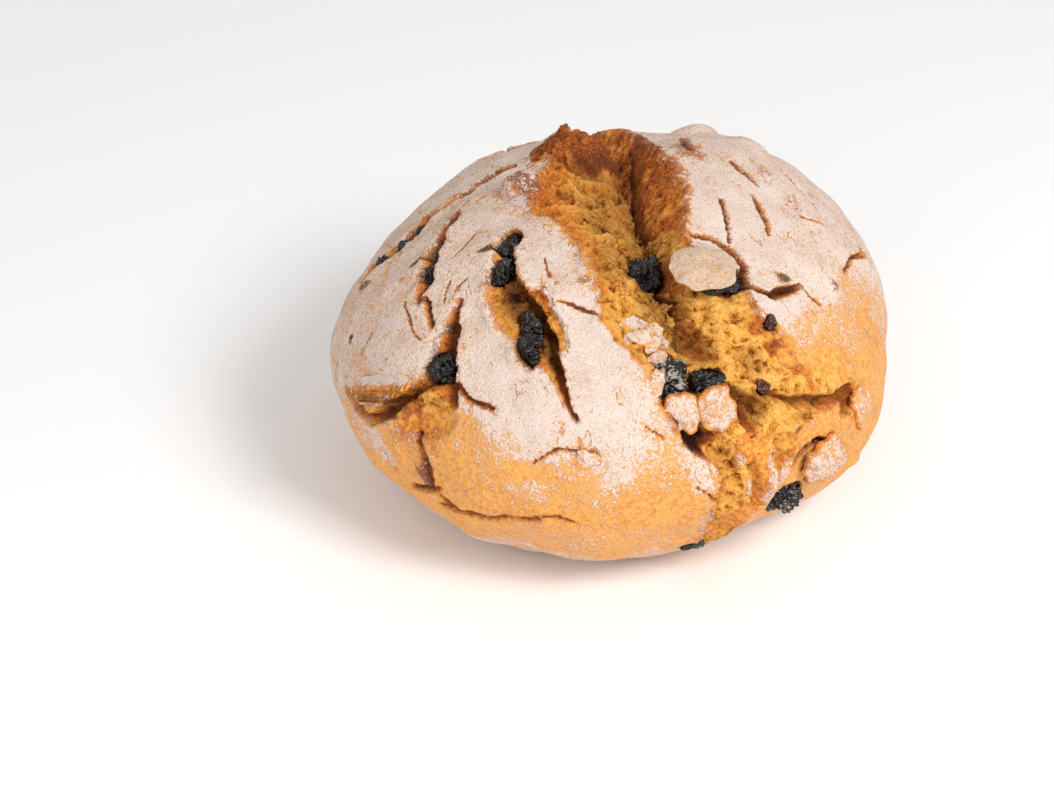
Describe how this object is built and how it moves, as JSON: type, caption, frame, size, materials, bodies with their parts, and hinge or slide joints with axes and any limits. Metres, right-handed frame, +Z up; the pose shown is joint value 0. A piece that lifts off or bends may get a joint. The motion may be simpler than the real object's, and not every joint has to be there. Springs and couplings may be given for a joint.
{
  "type": "raisin corn bread",
  "caption": "Round floured raisin corn bread with a deep torn split, cracked crust and raisins showing, uncut.",
  "frame": {"origin": "centre of the foot, at the bottom centre of the bounding box", "axes": "+Z up through the loaf, +X to the loaf's right seen from its front, +Y to its back"},
  "size_m": [0.2061, 0.2011, 0.1242],
  "materials": {
    "crust": "baked crust dusted with flour, matt",
    "raisin": "dark wrinkled dried fruit, slight sheen"
  },
  "bodies": {
    "root": {"loaf": "crust", "raisin_shoulder_low": "raisin", "raisin_shoulder_mid": "raisin", "raisin_shoulder_high": "raisin", "raisin_slit_high": "raisin", "raisin_slit_low": "raisin", "raisin_gash_top": "raisin", "raisin_gash_upper": "raisin", "raisin_gash_lower": "raisin", "raisin_gash_tail": "raisin", "raisin_corner": "raisin", "raisin_crease": "raisin", "raisin_under_cap": "raisin", "raisin_dusted": "raisin", "raisin_beside_knobs": "raisin", "raisin_front_right": "raisin", "raisin_foot": "raisin", "raisin_scrap_red": "raisin", "raisin_scrap_purple": "raisin"}
  },
  "joints": []
}
